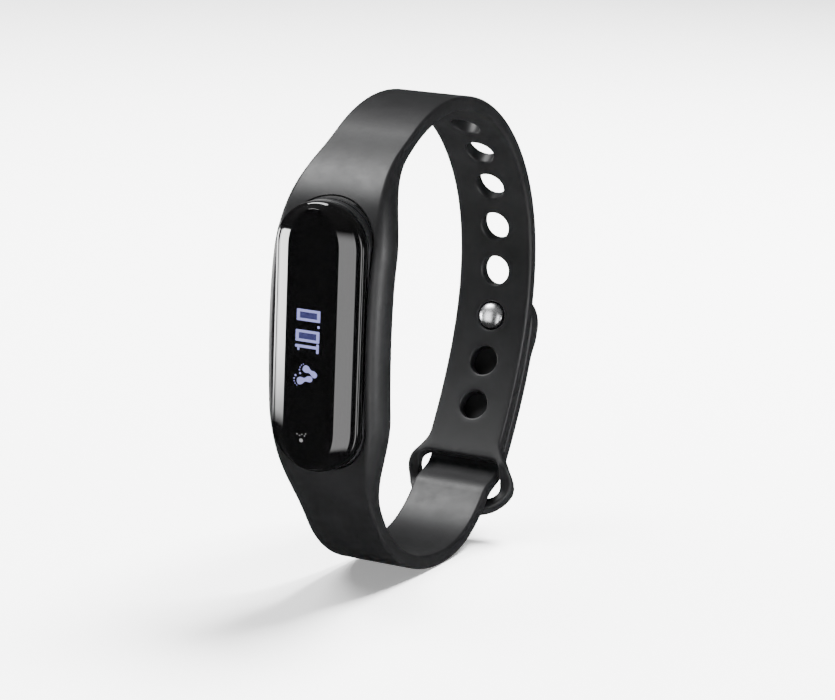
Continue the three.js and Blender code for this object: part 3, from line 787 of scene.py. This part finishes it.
DOT_WIDTH, DOT_HEIGHT = 0.18, 0.17
dots_at = ((-1.9, -14.9), (-1.45, -15.1), (-1.05, -14.85), (-0.6, -15.05), (-0.4, -14.7))
marks = [bar(x, x + DOT_WIDTH, z, z + DOT_HEIGHT, 0.05) for x, z in dots_at]
blob = closed_curve([(-1.35, -15.55), (-0.95, -15.45), (-0.75, -15.8), (-1.0, -16.05), (-1.35, -15.9)])
touch_mark = inlay("touch_mark", marks + [blob])
print("footprints and touch mark laid on")

# %% [markdown]
# # Finishes
# Every finish is made of nodes, so it needs no pictures. Object coordinates are in metres, so a noise
# scale of 4000 has features about a quarter of a millimetre across. Numbers that are the same all over go
# straight on the shader.

# %% A base for all finishes
class Finish:
    """A principled material, with short ways to add noise to it."""

    def __init__(self, name, color, rough, metal=0.0, **sockets):
        self.material = bpy.data.materials.new(name)
        self.material.use_nodes = True
        self.tree = self.material.node_tree
        self.shader = self.tree.nodes["Principled BSDF"]
        self.shader.inputs["Base Color"].default_value = (*color, 1)
        self.shader.inputs["Roughness"].default_value = rough
        self.shader.inputs["Metallic"].default_value = metal
        for socket, value in sockets.items():
            self.shader.inputs[socket.replace("_", " ")].default_value = value
        self.place = self.tree.nodes.new("ShaderNodeTexCoord").outputs["Object"]

    def noise(self, scale, detail=3.0, rough=0.5, stretch=None):
        node = self.tree.nodes.new("ShaderNodeTexNoise")
        node.inputs["Scale"].default_value = scale
        node.inputs["Detail"].default_value = detail
        node.inputs["Roughness"].default_value = rough
        source = self.place
        if stretch:
            turn = self.tree.nodes.new("ShaderNodeMapping")
            turn.inputs["Scale"].default_value = stretch
            self.tree.links.new(source, turn.inputs["Vector"])
            source = turn.outputs["Vector"]
        self.tree.links.new(source, node.inputs["Vector"])
        return node.outputs["Fac"]

    def spread(self, value, low, high, start=0.35, end=0.65):
        node = self.tree.nodes.new("ShaderNodeMapRange")
        for socket, number in (("From Min", start), ("From Max", end), ("To Min", low), ("To Max", high)):
            node.inputs[socket].default_value = number
        self.tree.links.new(value, node.inputs["Value"])
        return node.outputs["Result"]

    def roughness(self, value, low, high, **more):
        self.tree.links.new(self.spread(value, low, high, **more), self.shader.inputs["Roughness"])
        return self

    def colors(self, value, first, second, start=0.3, end=0.7):
        ramp = self.tree.nodes.new("ShaderNodeValToRGB")
        for stop, at, color in zip(ramp.color_ramp.elements, (start, end), (first, second)):
            stop.position, stop.color = at, (*color, 1)
        self.tree.links.new(value, ramp.inputs["Fac"])
        self.tree.links.new(ramp.outputs["Color"], self.shader.inputs["Base Color"])
        return self

    def bump(self, *layers):
        """Layers of (noise, strength, height in metres), coarse to fine."""
        normal = None
        for value, strength, height in layers:
            node = self.tree.nodes.new("ShaderNodeBump")
            node.inputs["Strength"].default_value = strength
            node.inputs["Distance"].default_value = height
            self.tree.links.new(value, node.inputs["Height"])
            if normal:
                self.tree.links.new(normal, node.inputs["Normal"])
            normal = node.outputs["Normal"]
        self.tree.links.new(normal, self.shader.inputs["Normal"])
        return self

    def on(self, *pieces):
        for piece in pieces:
            piece.data.materials.clear()
            piece.data.materials.append(self.material)
        return self


# %% [markdown]
# ## Satin silicone
# Moulded silicone copies its mould: a very fine grain that softens highlights, a slow waviness from
# shrinkage, and patches a little shinier where skin and sleeves have rubbed it. It is black but never
# fully black.

# %% Silicone
silicone = Finish("satin_silicone", (0.0074, 0.0076, 0.0086), 0.46,
                  Specular_IOR_Level=0.42, Sheen_Weight=0.01, Sheen_Roughness=0.4)
silicone.colors(silicone.noise(180, 4, 0.55), (0.0062, 0.0064, 0.0072), (0.0085, 0.0088, 0.0100))
silicone.roughness(silicone.noise(420, 5, 0.6), 0.44, 0.50)
silicone.bump((silicone.noise(90, 1), 0.06, 0.00004), (silicone.noise(6500, 3, 0.6), 0.30, 0.000014))
silicone_pieces = [pod, holed, upper_neck, lower_neck, lower, tail_bend, tail_middle, tip_bend, tab]
silicone.on(*silicone_pieces)

# %% [markdown]
# ## Gloss, steel and case plastic
# The cover is polished black plastic: almost a mirror, with faint finger smudges that only change its gloss.
# The stud is polished steel with fine turning marks, and the hidden case is a matt moulded grain.

# %% Gloss cover, steel, case
gloss = Finish("gloss_black", (0.0018, 0.0018, 0.002), 0.035,
               Specular_IOR_Level=0.5, Coat_Weight=0.15, Coat_Roughness=0.02)
gloss.roughness(gloss.noise(140, 4, 0.65), 0.025, 0.07, start=0.4, end=0.75)
gloss.bump((gloss.noise(60, 1), 0.05, 0.00002))
gloss.on(cover)

steel = Finish("polished_steel", (0.72, 0.73, 0.74), 0.3, 1.0)
steel.colors(steel.noise(900, 3), (0.62, 0.63, 0.64), (0.80, 0.81, 0.82))
steel.roughness(steel.noise(2600, 4, 0.6, stretch=(1, 1, 5)), 0.24, 0.38)
steel.bump((steel.noise(6500, 3, 0.6, stretch=(1, 1, 6)), 0.15, 0.000006))
steel.on(stud, cap)

case = Finish("matt_case", (0.016, 0.0165, 0.018), 0.5)
case.colors(case.noise(300, 3), (0.013, 0.0135, 0.015), (0.02, 0.0205, 0.022))
case.roughness(case.noise(700, 4), 0.42, 0.6)
case.bump((case.noise(7500, 2, 0.6), 0.4, 0.00002))
case.on(case_wall, rear)
print("main finishes made")

# %% Light under the cover, and a painted glow on the touch mark
def lit(name, color, strength, base=(0.02, 0.02, 0.05)):
    finish = Finish(name, base, 0.12, Emission_Strength=strength)
    ramp = finish.tree.nodes.new("ShaderNodeValToRGB")
    low, high = ramp.color_ramp.elements
    low.position, low.color = 0.25, (*[c * 0.82 for c in color], 1)
    high.position, high.color = 0.75, (*color, 1)
    finish.tree.links.new(finish.noise(2600, 2), ramp.inputs["Fac"])
    finish.tree.links.new(ramp.outputs["Color"], finish.shader.inputs["Emission Color"])
    return finish


lit("lit_lavender", (0.44, 0.45, 0.95), 1.05).on(lit_figures, footprints)
lit("dim_blue", (0.008, 0.008, 0.10), 0.6).on(glow)
# The touch mark is grey print with a faint painted glow standing in for glints on it; it is no lamp.
lit("touch_print_painted_glow", (0.13, 0.13, 0.135), 0.2, (0.12, 0.12, 0.12)).on(touch_mark)

# %% [markdown]
# ## Finishes for what is inside
# These pieces keep their engineered shape and get a finish of their own, seen when the tracker is out of
# its pocket or taken apart: board green with solder-mask grain, matt chips, crinkled battery foil, gold,
# copper and wire.

# %% Inner finishes
def inner_finish(name, first, second, rough, metal=0.0, scale=1500, grain=0.25, nodes=()):
    """Two tones, a range of roughness and a fine bump, for pieces that keep their flat facets."""
    finish = Finish(name, first, sum(rough) / 2, metal)
    finish.colors(finish.noise(scale, 4), first, second)
    finish.roughness(finish.noise(scale * 1.7, 4, 0.6), *rough)
    finish.bump((finish.noise(scale * 3, 3, 0.6), grain, 0.00002))
    for node in nodes:
        finish.on(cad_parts[node])
        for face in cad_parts[node].data.polygons:
            face.use_smooth = False
    return finish


inner_finish("board_green", (0.008, 0.07, 0.035), (0.012, 0.10, 0.05), (0.3, 0.5), nodes=["main_board"])
inner_finish("chip_black", (0.012, 0.012, 0.014), (0.022, 0.022, 0.024), (0.45, 0.65), scale=4000,
             nodes=["processor_chip", "motion_sensor", "flash_chip"])
inner_finish("ceramic", (0.62, 0.57, 0.48), (0.75, 0.7, 0.6), (0.35, 0.55), nodes=["antenna"])
inner_finish("foil", (0.55, 0.56, 0.58), (0.72, 0.73, 0.75), (0.22, 0.42), 1.0, 700, 0.6,
             ["battery", "clock_crystal", "motor_base"])
inner_finish("gold_plate", (0.78, 0.55, 0.22), (0.88, 0.65, 0.30), (0.14, 0.3), 1.0, 2500, 0.15,
             ["charge_contact_left", "charge_contact_right"])
inner_finish("copper_wire", (0.62, 0.28, 0.14), (0.78, 0.38, 0.2), (0.2, 0.36), 1.0, 4000, 0.5,
             ["motor_coil", "touch_electrode"])
inner_finish("amber_ribbon", (0.42, 0.19, 0.03), (0.52, 0.25, 0.05), (0.3, 0.45), nodes=["display_flex"])
inner_finish("white_foam", (0.68, 0.67, 0.62), (0.82, 0.81, 0.76), (0.8, 0.95), scale=3500, grain=0.9,
             nodes=["battery_pad"])
inner_finish("red_wire", (0.42, 0.015, 0.012), (0.55, 0.03, 0.02), (0.35, 0.5),
             nodes=["battery_lead_positive"])
inner_finish("black_wire", (0.01, 0.01, 0.01), (0.02, 0.02, 0.02), (0.35, 0.5),
             nodes=["battery_lead_negative"])
inner_finish("seal_rubber", (0.03, 0.031, 0.033), (0.045, 0.046, 0.05), (0.7, 0.9),
             nodes=["lens_gasket", "case_seal"])
inner_finish("display_glass", (0.006, 0.006, 0.012), (0.012, 0.012, 0.02), (0.06, 0.14), scale=500,
             grain=0.05, nodes=["display_panel"])
inner_finish("spring_steel", (0.5, 0.5, 0.5), (0.66, 0.66, 0.66), (0.2, 0.35), 1.0, 3000, 0.3,
             ["motor_can", "motor_shaft", "touch_spring"])
inner_finish("tungsten", (0.16, 0.165, 0.17), (0.24, 0.245, 0.25), (0.35, 0.55), 1.0, 2500, 0.5,
             ["motor_rotor"])
print("inner finishes on", sum(1 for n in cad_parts.values() if not n.hide_render), "pieces")

# %% [markdown]
# # Stage
# A pale floor, soft light from large panels and a camera that looks down a little at the face.
# The floor is kept out of mirror reflections, as if black card were laid in front of the gloss face, so
# that the face stays deep black while the bevels pick up the cards at the sides.

# %% Floor and camera
bpy.ops.mesh.primitive_plane_add(size=6, location=(0, 1.2, -0.00005))
floor = bpy.context.object
floor.name = "pale_floor"
floor.visible_glossy = False
floor_finish = Finish("pale_floor", (0.93, 0.93, 0.93), 0.9,
                      Emission_Strength=0.36, Emission_Color=(1, 1, 1, 1))
floor_finish.colors(floor_finish.noise(3, 2), (0.925, 0.925, 0.925), (0.935, 0.935, 0.935)).on(floor)

YAW, PITCH, ROLL = (math.radians(a) for a in (26.7, 12.6, 2.24))
ahead = Vector((-math.sin(YAW) * math.cos(PITCH), math.cos(YAW) * math.cos(PITCH), -math.sin(PITCH)))
side = Vector((math.cos(YAW), math.sin(YAW), 0))
up = side.cross(ahead)
right = side * math.cos(ROLL) + up * math.sin(ROLL)
top = up * math.cos(ROLL) - side * math.sin(ROLL)
camera = bpy.data.objects.new("camera", bpy.data.cameras.new("camera"))
STANDPOINT = Vector((0.1984, -0.39337, 0.13355))
turned_to = Matrix((right, top, -ahead)).transposed().to_4x4()
camera.matrix_world = Matrix.Translation(STANDPOINT) @ turned_to
camera.data.lens, camera.data.sensor_width = 119.9, 36
bpy.context.scene.collection.objects.link(camera)
bpy.context.scene.camera = camera

# %% [markdown]
# ## Light
# A large soft panel overhead lights everything, and upright cards are there only to be mirrored. A flat
# bevel mirrors one direction, so each card stands where its bevel looks: the left one bright, the right
# one dim, and a third for the thin line of light on the turn between bevel and wall. The cards give no
# light to matt surfaces. Three more panels light one thing each: the floor, the silicone and the stud.

# %% Panels
MIDDLE = Vector((0, 0, 0.043))


def panel(name, place, size, radiance, only=()):
    """A soft panel that faces the band. Radiance is how bright it looks, so its size can change on its own.
    Pieces listed in only are the ones that it lights."""
    data = bpy.data.lights.new(name, "AREA")
    data.shape, data.size, data.size_y = "RECTANGLE", *size
    data.energy = radiance * math.pi * size[0] * size[1]
    light = bpy.data.objects.new(name, data)
    light.location = place
    light.rotation_euler = (MIDDLE - Vector(place)).to_track_quat("-Z", "Y").to_euler()
    light.visible_camera = False
    bpy.context.scene.collection.objects.link(light)
    if only:
        lit_pieces = bpy.data.collections.new(name + "_lights")
        for piece in only:
            lit_pieces.objects.link(piece)
        light.light_linking.receiver_collection = lit_pieces


panel("key_panel", (-0.44, -0.10, 0.82), (0.5, 0.5), 18)
panel("floor_panel", (0.10, 0.45, 0.9), (0.5, 0.4), 120, only=[floor])
panel("side_panel", (0.47, -0.05, -0.02), (0.06, 0.40), 40, only=silicone_pieces)
panel("stud_panel", (-0.22, -0.46, 0.06), (0.40, 0.40), 3.6, only=[stud])

# %% Mirrored cards
def product(tree, first, second):
    """Multiplies two shader values. The second is a socket or a plain number."""
    times = tree.nodes.new("ShaderNodeMath")
    times.operation = "MULTIPLY"
    tree.links.new(first, times.inputs[0])
    if isinstance(second, float):
        times.inputs[1].default_value = second
    else:
        tree.links.new(second, times.inputs[1])
    return times.outputs["Value"]


def glow_of(name, radiance, fades):
    """A light-giving material that fades out towards the four edges of a flat card."""
    glowing = bpy.data.materials.new(name)
    glowing.use_nodes = True
    tree = glowing.node_tree
    tree.nodes.clear()
    emit, out = tree.nodes.new("ShaderNodeEmission"), tree.nodes.new("ShaderNodeOutputMaterial")
    where, split = tree.nodes.new("ShaderNodeTexCoord"), tree.nodes.new("ShaderNodeSeparateXYZ")
    tree.links.new(where.outputs["Generated"], split.inputs["Vector"])
    level = None
    for axis, dark, full in fades:
        edge = tree.nodes.new("ShaderNodeMapRange")
        edge.interpolation_type = "SMOOTHSTEP"
        edge.inputs["From Min"].default_value, edge.inputs["From Max"].default_value = dark, full
        tree.links.new(split.outputs[axis], edge.inputs["Value"])
        fading = edge.outputs["Result"]
        level = fading if level is None else product(tree, level, fading)
    tree.links.new(product(tree, level, float(radiance)), emit.inputs["Strength"])
    tree.links.new(emit.outputs["Emission"], out.inputs["Surface"])
    return glowing


def card(name, place, size, radiance, sides=0.08, low=0.08, high=0.08):
    """A glowing card that only mirrors see. It stands upright, turned to the band, and fades at its edges."""
    w, h = size[0] / 2, size[1] / 2
    mesh = bpy.data.meshes.new(name)
    mesh.from_pydata([(-w, -h, 0), (w, -h, 0), (w, h, 0), (-w, h, 0)], [], [(0, 1, 2, 3)])
    made = bpy.data.objects.new(name, mesh)
    made.location = place
    made.rotation_euler = Vector((-place[0], -place[1], 0)).to_track_quat("Z", "Y").to_euler()
    made.visible_camera = made.visible_diffuse = made.visible_shadow = False
    bpy.context.scene.collection.objects.link(made)
    fades = (("X", 0, sides), ("X", 1, 1 - sides), ("Y", 0, low), ("Y", 1, 1 - high))
    made.data.materials.append(glow_of(name, radiance, fades))


card("left_card", (-0.442, 0.012, -0.014), (0.24, 0.152), 17, low=0.26, high=0.053)
card("bevel_card", (0.302, -0.359, -0.085), (0.17, 0.66), 4.6, low=0.25, high=0.25)
card("edge_card", (0.44, -0.115, -0.03), (0.05, 0.22), 11, low=0.2, high=0.2)

print("panels and cards placed")

# %% Surroundings
world = bpy.data.worlds.new("studio")
bpy.context.scene.world = world
world.use_nodes = True
sky = world.node_tree
direction = sky.nodes.new("ShaderNodeTexCoord")
height = sky.nodes.new("ShaderNodeSeparateXYZ")
ramp = sky.nodes.new("ShaderNodeMapRange")
for socket, number in (("From Min", 0.0), ("From Max", 0.8), ("To Min", 0.03), ("To Max", 0.16)):
    ramp.inputs[socket].default_value = number
sky.links.new(direction.outputs["Generated"], height.inputs["Vector"])
sky.links.new(height.outputs["Z"], ramp.inputs["Value"])
sky.links.new(ramp.outputs["Result"], sky.nodes["Background"].inputs["Strength"])
sky.nodes["Background"].inputs["Color"].default_value = (1, 1, 1, 1)
print("stage set")
